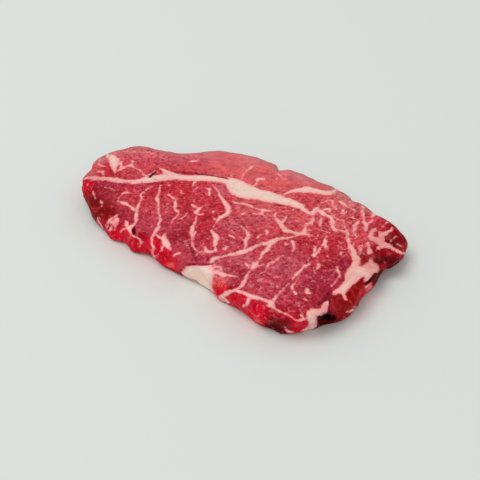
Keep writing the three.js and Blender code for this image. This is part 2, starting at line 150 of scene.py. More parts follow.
SEAMS = {
    # the long seam under the cap muscle
    "main": [(-90.5, -34.5, 2), (-88, -31.5, 3), (-85, -29.8, 4.4), (-75, -24.5, 4.4), (-70, -22.3, 4),
        (-65, -18.2, 4.6), (-61, -13, 5.4), (-56, -6.5, 7), (-50, -0.6, 6.3), (-45, 2, 6), (-35, 9, 6.2),
        (-30, 13, 6), (-25, 14.5, 6), (-20, 16, 8.5), (-15, 15, 12), (-10, 13.8, 14.4), (-5, 14.7, 13),
        (0, 16.2, 10.6), (5, 18.4, 10.6), (10, 19.4, 8.6), (15, 20.8, 8), (20, 22.3, 6.2),
        (25, 22.2, 5.2), (28, 21.2, 3.8), (32, 21, 3.2), (34.5, 21, 3.4)],
    "main_bump": [(-61.5, 0.3, 1.6), (-59, 0, 3.2), (-55, 0.2, 3.8), (-50.6, 1.8, 2.4)],
    "main_top": [(-89.1, -24.8, 2.2), (-87.2, -23.3, 2.4), (-84.8, -25, 2)],
    "left_streak": [(-96.8, -16, 1.2), (-93.6, -19, 1.4), (-89.8, -18.7, 1.3)],
    # the corner at the left end
    "corner": [(-98, -8.6, 3.4), (-92, -9.3, 6), (-88, -12, 6), (-85, -15.5, 4), (-80.5, -19.3, 1.5)],
    "corner_in": [(-80, -4, 1.5), (-78.5, -8, 2.4), (-79.5, -11, 2), (-80.5, -17, 1)],
    "corner_arc": [(-78, -7, 1.8), (-74, -8.5, 1.3), (-70, -8.3, 1.2), (-67, -9.3, 1.2), (-65.5, -11, 1)],
    "corner_fork": [(-85, -9, 2), (-82, -12, 1), (-80.5, -15, 1)],
    "hook": [(-66, -10.6, 1.2), (-63.4, -9.6, 1.6), (-62.9, -6.8, 1.5), (-62.6, -3, 1.2)],
    "rim_streak": [(-91.6, -0.2, 0.6), (-87.7, 2.8, 0.8), (-79.3, 8.1, 0.8), (-73, 10.3, 0.5)],
    # the cap muscle
    "cap_a": [(-19.5, 38, 1), (-19.3, 28, 1.2), (-16.5, 21, 1.2)],
    "cap_b": [(-5.5, 30, 1.2), (-8.5, 29.5, 1.8), (-9, 27.5, 1.8), (-7.5, 25, 1.8), (-7.3, 21, 1.8)],
    "cap_c": [(-49, 21, 1.6), (-52, 18, 1.9)],
    "cap_d": [(-3.4, 39.8, 0.7), (0.3, 38.8, 0.8), (1.9, 37.6, 0.8), (3.8, 39, 0.7)],
    "cap_e": [(-24, 21.5, 0.7), (-23.5, 19.5, 0.9), (-23, 17.5, 0.9)],
    "cap_f": [(-0.8, 34.2, 0.8), (-1, 36.5, 0.8)],
    "leaf": [(11.5, 25.5, 1.4), (14, 31.5, 3.4), (19.3, 37.5, 6.2), (22.3, 38.6, 5.4), (25.8, 40.4, 4.4),
        (29.2, 41.8, 4), (32, 43.8, 3.8), (33, 46.3, 3), (33, 51, 2.6)],
    # the upper right
    "joint": [(33.7, 29, 1.2), (34, 26.5, 2.6), (34.3, 22, 3.2)],
    "border": [(34.5, 26, 2.5), (38, 25.5, 3), (41, 25, 2.5), (43.5, 25.2, 2.2), (46, 24, 2.3),
        (50.5, 18.7, 2.3), (53, 17.4, 2), (55, 18.3, 1.8), (60, 19.3, 2.2), (60.8, 17, 2), (65, 12.5, 2),
        (71, 7.5, 2.6), (75.5, 3, 4.2)],
    "arc_up": [(33.3, 31.5, 1.2), (35, 36.5, 1.6), (37, 38, 1.3), (38.5, 36, 1.5), (40, 34, 1.2),
        (42.5, 33.5, 1.3), (43, 32, 1)],
    "arc_down": [(37, 26.5, 1), (38.5, 29.5, 1.4), (40, 31, 1.6), (41, 28.5, 1.2)],
    "band": [(41, 40, 1.2), (45, 39.3, 1.8), (51, 38.3, 1.2)],
    "band_in": [(47, 34.5, 1.5), (48, 32, 1.2)],
    "band_far": [(45, 44, 1.2), (47, 43, 1.5), (49, 41.5, 1.2)],
    "far_cross": [(52, 48, 1.6), (54.5, 43, 2.6), (56, 40.5, 2.2), (60, 35.5, 1.6), (61.8, 33, 2.2),
        (64, 31.5, 2.2), (66.5, 26.8, 1.2)],
    "far_twig": [(64.5, 37, 1), (64, 33, 1.4)],
    "far_twig_b": [(62.5, 43, 1.5), (62.5, 40, 1.2)],
    "mid_cross": [(59.5, 31, 1.4), (59.5, 26, 1.4), (61, 24, 1.8), (62.3, 21.5, 1.4)],
    "mid_twig": [(63.5, 22, 1.4), (64.3, 20, 1.4)],
    "mid_twig_b": [(53, 25.5, 1.2), (56, 22.3, 1.4), (58.5, 20.5, 1.4)],
    # the strip along the fold, and its twigs
    "strip": [(70, 31.5, 1.6), (70, 28, 2.2), (71, 25, 3.2), (73, 23.5, 3.6), (76, 24.3, 4),
        (78.5, 23, 4), (81, 23.2, 4.4), (84, 23.6, 3.4), (88.5, 22.6, 2.2), (91.4, 22.8, 1.8),
        (93.6, 23.8, 1.4)],
    "strip_a": [(74, 30.3, 1.2), (75.5, 27.5, 1.8), (75.5, 25, 2)],
    "strip_b": [(77.4, 36.6, 1), (76.2, 31, 2.4), (76.5, 28.3, 2.2), (77.5, 26, 1.8)],
    "strip_c": [(76.6, 38, 1), (77, 35.5, 1.2)],
    "strip_d": [(72, 40, 1), (72.5, 36, 1)],
    "strip_e": [(82, 33.1, 0.7), (82, 30.5, 1), (82.3, 27.8, 0.7)],
    "strip_f": [(85.5, 27.6, 0.6), (87.2, 27.5, 0.8), (88.8, 27.4, 0.6)],
    "strip_down": [(80.5, 22, 2.4), (80, 18.5, 1.8)],
    "under_strip": [(73.3, 18.7, 1), (77.5, 13.5, 1.5), (78.7, 11.7, 0.9)],
    "under_strip_b": [(70.8, 14.2, 1.4), (72, 12.5, 1.6), (73.5, 11, 1)],
    # just below the long seam
    "under_main": [(17, 16.3, 1.4), (19.5, 17, 1.7)],
    "under_main_b": [(23.5, 18, 0.8), (25, 15, 1), (28.5, 10.5, 0.8)],
    "under_joint": [(36, 20, 1), (39, 15, 1.5), (39, 13, 1.3), (37, 12, 1.6)],
    "under_joint_b": [(40.3, 22, 1), (42, 19, 1.2), (44, 15.5, 1.2)],
    # the eye: upper part
    "feeder": [(-27, 7, 1), (-20, 4.5, 1.2), (-16, 1.5, 1.4), (-7, -3.5, 3), (-3.5, -7.5, 3.2),
        (-3.8, -12, 2.6), (-4, -16, 1.4), (-1.8, -23, 0.8)],
    "feeder_top": [(-8, 2.5, 1), (-5, 2.4, 1.2), (0, 5, 1.3), (6, 5.2, 1.2), (9, 5.8, 1.3),
        (10.5, 6.3, 1.8), (14.5, 9, 1.5)],
    "fork": [(10.5, 6.3, 1.6), (11.2, 4.8, 1.8), (12.5, 3.5, 1.8), (14, 3, 1.3), (15.5, 2, 1)],
    "fork_tail": [(12, 2.7, 1.2), (10, 1.5, 1.2), (8, 1, 1)],
    "four": [(4, -0.5, 1.2), (4, -3, 1.6)],
    "four_b": [(-1, -2.5, 1), (3, -3.6, 1.2)],
    "small_y": [(-28, 2, 1.2), (-26, 3.5, 1.5), (-24.5, 1, 1.5), (-22, -1.5, 1.3)],
    "small_a": [(-36.5, 3, 0.9), (-35.5, -1, 1)],
    "small_b": [(-32.5, 0, 1.2), (-32, -4, 1.2)],
    "small_c": [(-38, -8, 0.8), (-35.5, -10, 0.8)],
    "small_d": [(-46, -6, 0.7), (-46.5, -9, 0.7)],
    "small_e": [(-11, -11.5, 1.1), (-10.4, -12, 1.1)],
    "small_f": [(-6, -16.5, 1.1), (-5.6, -17.2, 1.1)],
    # the eye: middle
    "crescent": [(-24, -14.5, 1), (-20, -15.3, 1.2), (-18.5, -15, 1.4), (-18, -18, 2.2), (-16, -19, 1.6),
        (-14, -17.5, 1.3)],
    "crescent_b": [(-18.5, -13, 1), (-18.5, -15, 1.2)],
    "wander": [(-41, -15.5, 1), (-38, -16.3, 1.3), (-35, -16.5, 1.3), (-33.5, -18.5, 1.5),
        (-31, -21, 1.5), (-29.5, -23.5, 1.4), (-26, -24.5, 1.3), (-24.8, -26, 1.2), (-23.5, -32, 1),
        (-22.7, -34, 0.8)],
    "long_left": [(-51, -12, 0.9), (-48, -16, 0.9), (-44, -22.5, 1.5), (-41, -25, 1.2), (-36, -30, 1.3),
        (-35, -31.5, 1.9), (-31, -34.5, 1.7), (-26.5, -40.5, 1.9), (-23, -50, 1.4), (-20.5, -53.5, 1.3),
        (-16, -57, 1.2), (-13.5, -60.5, 1), (-11, -62, 1)],
    "far_left": [(-54, -16, 0.9), (-54, -25, 1.1), (-51, -28, 1.3), (-47, -36, 2), (-44.5, -39, 2),
        (-42, -42.5, 2), (-39.5, -45, 1.8), (-38, -48, 1.8), (-38, -51.6, 3.6), (-35, -54, 1.6),
        (-32, -56, 1.4), (-29.2, -55.6, 1.1)],
    "far_left_b": [(-44.7, -48.2, 0.9), (-40.2, -51.3, 1.5), (-37.8, -52.2, 2)],
    "far_left_c": [(-39.6, -57.5, 0.9), (-40, -55.6, 1.2), (-39.1, -53.3, 1.4)],
    "left_twig": [(-60, -38, 0.9), (-55, -37.3, 1.6), (-46, -38, 2)],
    "mid_a": [(-22, -22, 0.8), (-20.5, -26, 1), (-22, -29.5, 0.8)],
    "mid_b": [(-33, -25, 0.8), (-32.5, -29, 0.8)],
    "slant": [(-15, -21, 0.8), (-13, -25, 1), (-11.5, -29, 1.2), (-10, -31, 2), (-4.8, -38, 1.1),
        (0, -42, 1.3), (2, -43.3, 1.3), (4, -44, 1.1), (5.7, -46, 0.8)],
    "slant_b": [(-7, -32, 0.9), (-6, -35, 1), (-3.5, -37.5, 0.9)],
    "near_a": [(-19.3, -43.5, 1), (-18.3, -46, 1.6), (-13.2, -49.2, 4.2), (-8.3, -51.6, 1.4)],
    "near_b": [(-24, -46.5, 1), (-22, -47.3, 1.4), (-19, -47.6, 1.6)],
    "near_c": [(-12.6, -50.8, 1.6), (-13, -53.4, 1.4), (-11.4, -55, 1.2), (-10.6, -61, 1.2)],
    "near_d": [(-3.4, -54.5, 1.2), (-2.9, -51.8, 1.8), (-2, -49.6, 1.5)],
    "near_e": [(-27.9, -55.6, 0.8), (-25.1, -56.6, 1), (-22.7, -60, 0.8)],
    "claw": [(-1, -25.3, 1), (3.5, -27.6, 2.6), (5.5, -29, 2.6), (8.5, -34, 2.2), (10.5, -35.5, 1.5),
        (11.5, -37.5, 1.7), (10.5, -39.5, 2), (8, -40.5, 2), (5, -37.8, 1)],
    "claw_tail": [(8.5, -41, 1.3), (6.5, -42.5, 1.3), (5, -44.3, 1.3)],
    "claw_b": [(14.5, -31, 1.1), (15, -33.5, 1.4)],
    "wye": [(10, -12.5, 1.1), (15.5, -14.5, 1.4), (18, -17, 2), (19, -20, 2.3), (22, -24, 1.2),
        (23, -26, 1)],
    "wye_b": [(14.5, -20, 1.1), (17, -20.5, 1.3), (19, -21, 1.4)],
    "wye_c": [(22.5, -12, 1), (22.8, -15, 1)],
    "wye_d": [(23.5, -7, 1), (25, -9, 1)],
    "wye_e": [(9, -22.5, 1.4), (13, -22.5, 1.4)],
    # the band across the middle of the right half, and the long slanting seam
    "bridge": [(19, 6.5, 0.9), (20.5, 5, 1.4), (22.5, 4.5, 1.8), (30, 0.6, 3), (33, 0, 3.6),
        (39, 1.9, 2.4), (41, 3.6, 2.2), (43, 4, 2), (44.5, 4.6, 1.2)],
    "bridge_up": [(41, 4.5, 2), (39.5, 6.5, 2), (38.5, 8.8, 1.5), (38.3, 11, 1.2)],
    "bridge_in": [(24.3, 11, 1.1), (25.6, 6.5, 1.4), (25.8, 4.5, 1.4)],
    "bridge_b": [(18, 9, 0.9), (19.3, 6.3, 0.9)],
    "slash": [(39, 0, 1.2), (37.6, -3, 1.6), (36, -5, 1.8), (34, -6.7, 2), (32.5, -9, 2.6),
        (31.5, -12, 3), (30, -14.5, 2.3), (26.8, -20, 2.2), (26.4, -23, 2.6), (24, -29, 3.6),
        (19.5, -35.5, 2.2), (15.8, -41.5, 2), (14.9, -44, 3), (17, -48, 2.2)],
    "slash_right": [(31.8, -12, 3.2), (32.3, -15, 2.5), (33, -22.5, 2), (34, -26, 1.3), (35.5, -32, 1.1),
        (35.8, -34.5, 1.5), (36.5, -41, 1.4), (39.5, -50, 1.6), (39.3, -55, 1.8), (37, -61.5, 2.2),
        (37, -63.8, 2.6)],
    "loop_a": [(38.5, -30.5, 0.9), (38, -32.5, 1), (37, -34, 1), (36, -34.6, 1.2)],
    "loop_b": [(33.5, -32, 0.8), (34.5, -34, 0.9), (35.8, -35, 1)],
    "loop_c": [(30.5, -35.5, 0.9), (33, -36, 1), (34.8, -38, 1)],
    "right_a": [(39, -5, 1), (41, -6.5, 1), (44.3, -10, 1.3), (44.5, -12, 1)],
    "right_b": [(38, -9, 1.3), (38.4, -9.6, 1.3)],
    "right_c": [(43, -18, 1), (42, -20, 1.3), (41.8, -23, 1.4), (41, -26, 1.2), (40.5, -28, 1.3),
        (42.3, -33, 1.1), (42.5, -35, 1)],
    "comma": [(52, 10, 0.9), (54.5, 4.5, 1.7), (56, 3, 2), (57.3, 1.5, 1.6)],
    "comma_b": [(54.7, 3, 1.5), (55, 0, 1.1), (55.3, -3, 1.6), (56, -5.5, 2), (56.3, -8, 1.6)],
    "comma_c": [(52.5, -1, 1.3), (53.5, -4, 1.6), (55, -7, 2), (56, -8, 1.8)],
    "right_line": [(57.5, -15, 1.1), (57, -20, 1.3), (57.5, -32, 1.3), (57.9, -35, 1.2), (58.6, -46, 1.4),
        (59.2, -48.5, 2)],
    "right_d": [(59.8, -28, 1), (60.5, -34, 1.4), (61.5, -35.5, 1)],
    "right_e": [(62, -12, 0.9), (63, -15, 1), (64.5, -19, 1)],
    "right_f": [(71, -8, 0.8), (72.5, -10, 1), (75, -12, 1.1), (76, -15, 1.1), (77, -22, 0.9)],
    "right_g": [(61.5, -3.5, 1.2), (61.9, -4, 1.2)],
    "right_h": [(65.8, 3.3, 1.5), (66.4, 2.4, 1.5)],
    "right_i": [(68, -32, 1.8), (69.3, -33.2, 2.2), (70.5, -33, 1.4)],
    "right_j": [(71.5, -38, 0.9), (73, -38.7, 0.9)],
    "right_k": [(64, -37.5, 0.8), (65.2, -38, 0.8)],
    # along the near edge at the right
    "near_right": [(36.7, -63.6, 2.6), (37.2, -60, 3), (38.8, -56.2, 2.8), (41, -54.6, 2.8),
        (46.9, -53.8, 2.6), (51.6, -52.4, 3), (55.9, -51.4, 2.4), (58.4, -51, 3), (60, -51.8, 3.2),
        (59.5, -53.4, 1.6)],
    "near_right_low": [(36.9, -63.4, 2.2), (39.5, -64.2, 1.6), (42.3, -64.8, 1.2)],
    "near_drop": [(48.2, -55, 1), (49, -57, 2), (50.2, -59, 2.4), (50, -61.1, 1.6)],
    "near_line": [(60, -53.3, 1.2), (72.5, -53, 1.2), (76.2, -53.6, 1.3), (78.6, -51.7, 1.2),
        (79.6, -49.3, 1)],
    "near_fleck": [(76.2, -49.2, 1), (78.1, -49.4, 1.2)],
    "wedge_loop": [(19.1, -47.3, 1.2), (21.7, -46.3, 1.2), (24, -47.4, 1)],
    "wedge_arm": [(20.5, -51.5, 2.2), (23, -50.6, 2.4), (27.6, -49.4, 3.6)],
    "wedge_thin": [(28.5, -48.6, 1), (31, -47.6, 1), (34, -46.4, 0.8)],
    # the curl of fat round the near corner
    "curl": [(79.5, -45.5, 4), (82, -48, 4.6), (84.6, -50.6, 4.8), (85.4, -53.6, 4.4), (83.8, -59.4, 3.2),
        (81.6, -61.4, 2.4), (79.2, -62.2, 1.8), (76.8, -62, 1.4), (75.4, -61, 1.2)],
    "spur": [(83.5, -21.5, 2.4), (85.4, -23.6, 1.6), (87.8, -26, 0.8)],
    "wall_fleck": [(93.6, -33.4, 0.9), (94.4, -31.4, 1.4), (95, -29.6, 1.1)],
    "wall_fleck_b": [(94.2, -27.5, 0.9), (94.9, -27.5, 0.9)],
    "wall_fleck_c": [(91.5, -11.8, 0.8), (91.1, -8.3, 1), (90.3, -5.1, 1)],
    "wall_fleck_d": [(93.1, -13.4, 0.8), (93.1, -9.6, 0.8)],
    # the slack near side at the left
    "slack_a": [(-51.8, -47.2, 0.8), (-51.5, -49.8, 1.6), (-52, -52.4, 1.4), (-49.6, -59, 0.7)],
    "slack_b": [(-49.2, -50, 1.1), (-49.3, -53.9, 1), (-48, -60.5, 0.7)],
    "slack_c": [(-48.3, -51, 1), (-45.6, -54.5, 0.8), (-43.7, -58.5, 0.8)],
    "slack_d": [(-48.3, -52.1, 1.2), (-46.8, -56.5, 1), (-45.2, -60.5, 0.8)],
    "slack_tip": [(-86.7, -36.7, 0.9), (-75.2, -42.4, 0.9), (-71.3, -44.7, 0.9)],
    "slack_blob": [(-67.8, -43.8, 0.7), (-65.7, -45.1, 0.9), (-63.9, -47.8, 0.7)],
    "slack_foot": [(-58.5, -56, 1.2), (-55.4, -58.6, 1.4), (-51.6, -60.3, 1.1), (-48.1, -63, 1)],
    "left_twig_b": [(-75.2, -33.3, 0.8), (-71.7, -32.3, 1), (-68.8, -31.9, 0.8)],
    "left_twig_c": [(-62, -35.7, 0.7), (-62.6, -30.1, 0.8), (-58.2, -27.9, 0.7)],
}

# Broad patches of fat, by their outline.
PATCHES = {
    "wedge": [(17.2, -47.3), (11.7, -52.3), (8.4, -55), (7.8, -57), (8, -59.5), (8.6, -62), (9, -66),
        (36, -68), (34.5, -64.2), (31.5, -63), (29.3, -61.6), (27.1, -58.7), (25.3, -56.2), (23.4, -53.6),
        (21.3, -51), (19.2, -48.6)],
    "right_fat": [(72, 6.5), (74.5, 2.5), (75.5, -2), (76, -7), (77.5, -11), (79.3, -15), (80, -20),
        (79, -25), (80, -26.8), (82, -25.8), (83.3, -24), (85, -22.5), (84.8, -17), (85, -7),
        (86.3, -5.5), (88, -8.5), (90.2, -10.8), (89.5, -6), (88.5, -2), (90, 1.2), (89.3, 4.6),
        (87, 6.8), (83.5, 8), (80.8, 9.5), (81.5, 6), (82, 3), (81, 0.8), (79.3, -0.3), (78.8, 2),
        (77.5, 4.8), (75, 7.2)],
    "curl_top": [(81.4, -30.4), (80.2, -33.5), (81, -37.5), (80.6, -39.6), (78.4, -41.5), (77.6, -44.2),
        (78.6, -46.8), (80.6, -46.6), (82.5, -45), (84.6, -43.8), (86.4, -40.8), (85, -37.5), (83.6, -34),
        (82.3, -31)],
}

# Dark creases and slits, darkened with painted shade, and painted contact shadows along two feet: how dark,
# then a route as (x, y, width).
CREASES = {
    "above_main": (0.7, [(-53, 3.2, 0.6), (-45, 8.2, 0.9), (-29, 15.8, 0.8), (-22.5, 17.4, 0.6)]),
    "slit": (1.0, [(-62.2, -3.3, 0.7), (-61.9, -6.5, 1.3), (-60.9, -10, 1)]),
    "under_seam": (0.6, [(13.1, 13.7, 0.6), (16.7, 16.5, 0.9), (19.9, 17.9, 0.7)]),
    "wedge_left": (0.7, [(17, -46.4, 0.8), (10, -53, 0.9), (7.2, -55, 0.8)]),
    "near_dark": (0.6, [(-1, -43.5, 0.6), (2.5, -45.8, 0.9), (11.2, -52, 0.9)]),
    "near_slit": (1.0, [(-36, -51.2, 1.6), (-34.6, -52.6, 2.2), (-33, -54.2, 1.4)]),
    "fat_tip": (0.65, [(78.5, -27.5, 1.6), (79.2, -33, 1.8), (78.6, -37, 1.6)]),
    "lobe_slit": (0.4, [(77.6, 29.5, 1.2), (79.5, 28.5, 1.6), (81, 26, 1.6)]),
    "border_slit": (0.35, [(46, 12, 0.7), (44, 20, 0.8), (41, 23.3, 0.7)]),
    "right_foot_shadow": (1.0, [(90.3, -10, 1.3), (90.3, -4, 1.3), (89.5, 0, 0.9)]),
    "wedge_foot_shadow": (0.95, [(-1, -63.9, 0.8), (4.1, -64, 1.3), (19.3, -63, 1.5), (29.3, -63.9, 0.8)]),
    "bump_slit": (0.35, [(-52.9, 4.9, 0.6), (-58, 6.1, 0.8), (-63.4, 3.2, 0.6)]),
    "left_slit": (0.35, [(-67.9, 3.6, 0.6), (-65, 0.6, 0.8), (-63, -1.7, 0.6)]),
    "curl_slit": (0.5, [(80.4, -29.6, 1), (83.4, -33.6, 1), (86, -38, 1)]),
}

# ---- meat: tones as sRGB, and where they lie ----

TONES = {
    "pink": (208, 112, 118),
    "salmon": (204, 88, 92),
    "rose": (196, 68, 80),
    "cherry": (188, 48, 62),
    "mauve": (198, 92, 104),
    "dusk": (182, 62, 78),
    "mulberry": (158, 40, 58),
    "scarlet": (200, 18, 42),
    # painted highlight: glints on the near wall's lower rim
    "vermilion_glint": (220, 80, 76),
    "ruby": (188, 8, 42),
    "crimson": (150, 12, 34),
    # painted shade in the pocket under the near side, the fold, the hollows and under the lobe
    "shade_maroon": (76, 0, 12),
    "garnet": (134, 2, 14),
    # the slack near side's own dark tone, and painted shade at the right foot, the hollow and the pocket
    "oxblood_and_shade": (88, 0, 10),
    # painted shade at the bottom of the dark hollow under the near corner
    "shade_black": (16, 0, 3),
}
MEAT = [  # tone, then its places as x, y, reach
    ("pink", [(-84, 6, 9), (-96, -3, 7), (-60, 23, 8), (-48, 33, 8), (-24, 42, 8), (2, 48, 7),
              (14, 48, 6), (40, 47, 6), (25, -52, 5), (-72, 15, 6), (-98, -13, 4)]),
    ("salmon", [(-36, 34, 10), (-36, 22, 9), (-12, 36, 10), (-8, 24, 8), (4, 36, 9), (8, 28, 7),
                (24, 45, 7), (38, 42, 8), (50, 36, 9), (60, 26, 8), (38, 33, 6), (4, 2, 6),
                (56, 44, 6), (30, 14, 5), (52, 27, 6), (12, 10, 5)]),
    ("rose", [(-84, -3, 8), (-72, 2, 9), (-60, 10, 9), (-48, 14, 8), (-24, 2, 7), (28, 33, 7),
              (48, 28, 7), (62, 38, 8), (66, 22, 8), (24, -4, 8), (28, 10, 8), (44, 10, 8),
              (74, 12, 6), (-72, -12, 6), (-48, -34, 7), (36, -22, 6), (14, -4, 7), (-36, -24, 6)]),
    ("cherry", [(-36, 0, 9), (-24, -9, 9), (-12, -10, 9), (-38, -10, 9), (-50, -6, 8), (-10, -18, 8),
                (-26, -19, 7), (2, -32, 7), (50, 2, 8), (60, -6, 8), (68, 34, 7), (-60, -26, 8),
                (-48, -25, 8), (62, 8, 7), (74, -47, 6), (-84, -16, 6)]),
    ("dusk", [(8, -10, 9), (14, -20, 9), (12, -30, 8), (46, -16, 9), (50, -28, 9), (62, -22, 9),
              (26, -40, 8), (44, -42, 8), (54, -42, 8), (64, -42, 8), (-60, -17, 6), (-62, -35, 7),
              (-36, -38, 8), (-24, -38, 8), (0, -42, 7), (-24, -28, 7), (2, -50, 6), (26, -28, 6)]),
    ("mauve", [(6, -14, 5), (49, -23, 6), (28, -34, 5), (14, 0, 5), (-62, 14, 5), (48, 34, 5),
               (-20, 8, 4)]),
    ("mulberry", [(72, -2, 7), (70, -14, 9), (72, -28, 9), (72, -40, 8), (-72, -34, 7), (-10, -38, 7),
                  (-70, -40, 6), (-48, -43, 6), (84, -34, 4), (30, -47, 6)]),
    ("scarlet", [(-92.4, -25.9, 1.8), (33, -60, 3), (56, -63, 3), (64, -64.5, 2.5), (92.5, -11, 2),
                 (-2, -60, 3), (48, -64, 2.5), (93.5, -17, 2), (40, -61, 2.5)]),
    # painted highlights on the near wall's lower rim
    ("vermilion_glint", [(0, -61, 1.1), (28, -56.5, 3.5), (62, -66, 1.4)]),
    ("ruby", [(-84, -40, 2.5), (-38, -58, 4), (-30, -60, 3.5), (-23, -61, 3.5), (-19, -52.5, 3.5),
              (-8, -58.5, 4), (44, -60, 3.5), (52, -60, 4), (60, -61, 4), (76, -57, 4.5), (78, -53, 3)]),
    ("crimson", [(94, -20, 3), (92, -43, 3), (83, 16, 4), (91, 8, 2), (88, 33, 4),
                 (91, 26, 3), (80, 32, 4), (-50, -55, 4), (-28, -55, 4), (66, -56, 4), (86, 3, 2.5),
                 (75, -50, 4), (40, -57, 2.5)]),
    ("garnet", [(78, 36, 5), (-64, -46, 5), (-56, -50, 4), (-66, -51, 4), (-78, -43, 4), (80, 16, 3),
                (78, 8, 4), (87, -12, 3.5), (87, -34, 3.5), (92, -37, 4), (88, -14, 3), (86, -29, 4),
                (89, -22, 4)]),
    # own dark tone on the slack near side; painted shade at the right foot, the hollow and the pocket
    ("oxblood_and_shade", [(-71, -47, 3.5), (-60, -50, 5), (-66, -48, 4), (92, -4, 2.5), (84, -48, 2.5),
                 (74, -58.5, 2.5)]),
    # painted shade in the pocket, the fold, the hollow and under the lobe
    ("shade_maroon", [(70, -62, 3.5), (74, -64, 3), (67, -64.5, 2.5), (87, 12, 3.8), (84.5, 30, 4), (91, 2, 2.5),
                (93.5, 9, 2), (90, -45, 2.5), (89, 36, 3)]),
    # painted shade in the dark hollow under the near corner
    ("shade_black", [(87.5, -42, 3), (90, -41, 2), (85.5, -46, 1.6)]),
]
DEEP = [  # hollows that the light hardly reaches: how deep, then x, y, reach
    (1.0, 87.5, -42, 3.6), (0.8, 90, -41, 2.4), (0.5, 85.5, -46, 2.2), (0.35, 90, -45, 3),
    (0.4, 71, -64, 3.2), (0.35, 87, 13.5, 2.6), (0.4, 93.5, 8, 2.5), (0.45, 91, 1, 2),
]
FLECKS = [  # how dense the fine marbling is, from 0 to 1, then x, y, reach
    (0.95, 50, 34, 16), (0.9, 68, 16, 13), (0.75, 46, 10, 14), (0.55, 62, -18, 16), (0.6, 44, -40, 15),
    (0.55, 12, -20, 15), (0.45, 2, -40, 12), (0.5, 22, 2, 12), (0.4, -20, -8, 14), (0.35, -40, -30, 14),
    (0.3, -66, -4, 16), (0.3, -44, 0, 12), (0.12, -30, 30, 16), (0.2, 0, 36, 14), (0.35, 26, 30, 9),
    (0.3, -64, -24, 12), (0.2, -64, -50, 14), (0.25, 20, -58, 14), (0.4, 56, -60, 12),
    (0.15, 88, 30, 9), (0.15, 88, -20, 10), (0.5, 72, -44, 10), (0.25, -30, -56, 14), (0.6, 24, -40, 9),
]
ROSY = [  # how far the fat is stained pink, then x, y, reach
    (0.75, -86, -30, 10), (0.45, -72, -24, 9), (0.2, -54, -4, 8), (0.5, 79, -10, 9), (0.9, 84, 4, 7),
    (0.5, 76, 4, 6), (0.9, 78, 24, 10), (0.7, 82, -38, 7), (0.2, 16, -56, 9), (0.3, 84, -54, 7),
    (0.4, 34, 2, 8), (0.3, 56, 20, 9),
]
CAP = [  # how far the grain is the cap muscle's, then x, y, reach
    (1.0, -40, 34, 17), (1.0, -18, 36, 14), (0.9, 2, 42, 13), (0.8, 20, 48, 10), (0.5, -62, 20, 10),
]
WET = [  # how wet, then x, y, reach
    (1.0, -64, -48, 10), (1.0, 50, -61, 9), (1.0, 76, -56, 7), (1.0, 90, -22, 12), (1.0, -94, -25, 5),
    (0.9, -18, -56, 9), (0.8, 86, 12, 9), (0.6, 84, 32, 9), (0.9, -37, -57, 6), (0.8, 2, -60, 7),
    (1.0, 90, -36, 9),
]
SPOTS = {"fleck": FLECKS, "rosy": ROSY, "cap": CAP, "wet": WET, "deep": DEEP}
MEAT_REACH = 8.0          # a tone's usual reach: smaller spots outweigh it
BACKGROUND_WEIGHT = 1e-3  # keeps a place that is far from every tone at its nearest one

FAT_THIN = (234, 136, 140)     # threads of fat, and the edge of a seam
FAT_PALE = (246, 182, 173)     # inside a seam
FAT_CREAM = (235, 204, 189)    # inside the widest seams
FAT_SHADE = (214, 176, 162)    # streaks in the widest seams
FAT_ROSE = (222, 136, 136)     # where blood has stained it
RIM_SHEEN_GREY = (176, 118, 110)  # painted sheen where the far side's rounded edge catches the sky
FLECK_AND_GLINT_PINK = (240, 152, 156)   # fine marbling, and painted highlights on the fibres
WALL_GLINT_PINK = (208, 52, 66)      # those painted highlights on the wet walls
GRAIN_RED = (122, 6, 20)       # between the bundles of fibre
# painted shade in creases and slits, and painted contact shadow under the feet
CREASE_SHADE_RED = (60, 5, 12)
# painted shade at the bottom of the hollows
HOLLOW_SHADE_RED = (24, 1, 4)
FLOOR_LOOK = (217, 222, 218)

KEY_FROM = (-0.270, -0.220, 0.937)  # from above, to the camera's left
KEY_DISTANCE, KEY_SIZE, KEY_POWER = 2.3, 1.5, 20.0
WORLD_STRENGTH = 0.62
LIGHT = 0.93        # what the lights make of a level white surface
HAZE = 0.005        # and the haze they add to it
GRAIN_SHARE = 0.90  # how much of a tone the dark grain leaves
WALL_LIGHT = 0.78   # how much of the top's light reaches the walls; painted light brightens their colour by its inverse


# ---- helpers ----

def smooth_step(low, high, value):
    t = np.clip((value - low) / (high - low), 0, 1)
    return t * t * (3 - 2 * t)


def linear(colour):
    """sRGB, 0 to 255, as linear light."""
    c = np.asarray(colour, float) / 255
    return np.where(c <= 0.04045, c / 12.92, ((c + 0.055) / 1.055) ** 2.4)


def albedo(look):
    """The surface colour, in linear light, that shows as this sRGB colour under the studio's lights."""
    return np.clip((linear(look) - HAZE) / LIGHT, 0.002, 0.95)


def lerp(a, b, t):
    return a + (b - a) * t


def wavy(points, size, seed):
    """Smooth noise from -1 to 1 with waves of about that size, at each point in millimetres."""
    shift = Vector((seed * 17.3, seed * 5.1, seed * 9.7))
    return np.array([noise.noise(Vector(p) / size + shift) for p in points.tolist()])


# ---- the form ----

